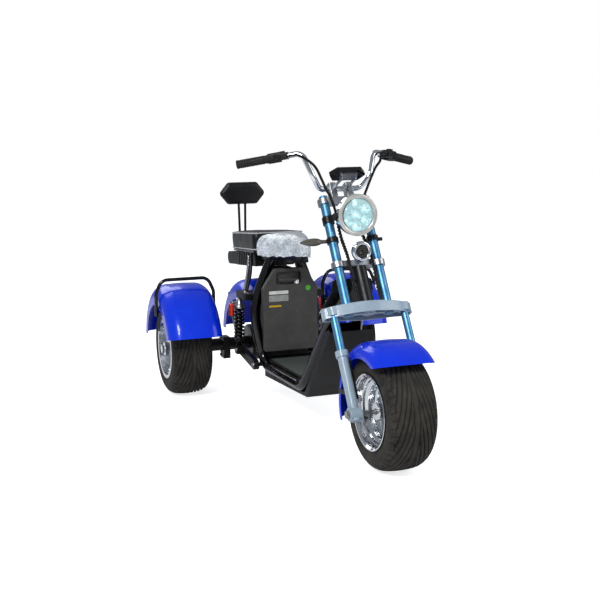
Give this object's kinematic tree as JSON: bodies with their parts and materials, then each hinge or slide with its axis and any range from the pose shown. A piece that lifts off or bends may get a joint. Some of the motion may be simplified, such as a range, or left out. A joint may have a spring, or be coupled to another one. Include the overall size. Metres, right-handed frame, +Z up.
{
  "type": "electric tricycle",
  "caption": "Low electric tricycle with a raked fork, wide fat tyres, deep fenders, a small front seat and a long rear seat with a backrest.",
  "frame": {"origin": "on the ground under the middle of the vehicle's box", "axes": "+X forward, +Y to the rider's left, +Z up"},
  "size_m": [2.002, 1.112, 1.1417],
  "materials": {
    "aluminium": "polished",
    "black_paint": "gloss",
    "black_plastic": "matte",
    "blue_paint": "gloss",
    "chrome": "polished",
    "clear_lens": "gloss",
    "gloss_plastic": "gloss",
    "grey_paint": "satin",
    "grey_plastic": "satin",
    "orange_paint": "gloss",
    "red_lens": "gloss",
    "rubber": "matte",
    "steel": "satin",
    "tyre": "matte",
    "vinyl": "satin"
  },
  "bodies": {
    "chassis": {"backrest_pad": "vinyl", "battery_cover": "grey_plastic", "battery_pack": "black_plastic", "belly_pan": "black_paint", "centre_fender": "blue_paint", "controller_box": "black_plastic", "cross_members": "black_paint", "drive_motor": "steel", "fender_stays": "black_paint", "floor_boards": "rubber", "front_seat": "vinyl", "grab_rails": "black_paint", "head_tube": "black_paint", "left_frame_tube": "black_paint", "left_rear_fender": "blue_paint", "leg_shield": "black_plastic", "plate_bracket": "black_paint", "rear_axle_frame": "black_paint", "rear_seat": "vinyl", "rear_seat_frame": "black_paint", "rear_shocks": "orange_paint", "rear_subframe": "black_paint", "right_frame_tube": "black_paint", "right_rear_fender": "blue_paint", "seat_bracket": "black_paint", "tail_light": "red_lens"},
    "steering": {"fork_crown": "grey_paint", "fork_tubes": "chrome", "fork_sliders": "grey_paint", "front_axle": "steel", "fork_yokes": "aluminium", "front_fender": "blue_paint", "front_fender_stays": "black_paint", "front_brake_caliper": "aluminium", "handlebar": "chrome", "handlebar_clamps": "aluminium", "grips": "rubber", "hand_controls": "black_plastic", "display": "gloss_plastic", "headlight_bracket": "black_paint", "headlight_lens": "clear_lens", "headlight_shell": "chrome", "horn": "chrome", "indicator_clamps": "black_paint", "right_indicator": "grey_plastic", "cable_looms": "rubber"},
    "front_wheel": {"front_tyre": "tyre", "front_rim": "aluminium", "front_brake_disc": "steel"},
    "rear_left_wheel": {"rear_left_tyre": "tyre", "rear_left_rim": "aluminium"},
    "rear_right_wheel": {"rear_right_tyre": "tyre", "rear_right_rim": "aluminium"}
  },
  "joints": [
    {"name": "steering", "type": "hinge", "parent": "chassis", "child": "steering", "pos_m": [0.784, 0, 0.217], "axis": [-0.5075, 0, 0.8616], "range_deg": [-38, 38]},
    {"name": "front_wheel_spin", "type": "hinge", "parent": "steering", "child": "front_wheel", "pos_m": [0.784, 0, 0.217], "axis": [0, 1, 0], "continuous": true},
    {"name": "rear_left_wheel_spin", "type": "hinge", "parent": "chassis", "child": "rear_left_wheel", "pos_m": [-0.64, 0.411, 0.217], "axis": [0, 1, 0], "continuous": true},
    {"name": "rear_right_wheel_spin", "type": "hinge", "parent": "chassis", "child": "rear_right_wheel", "pos_m": [-0.64, -0.411, 0.217], "axis": [0, 1, 0], "continuous": true}
  ]
}
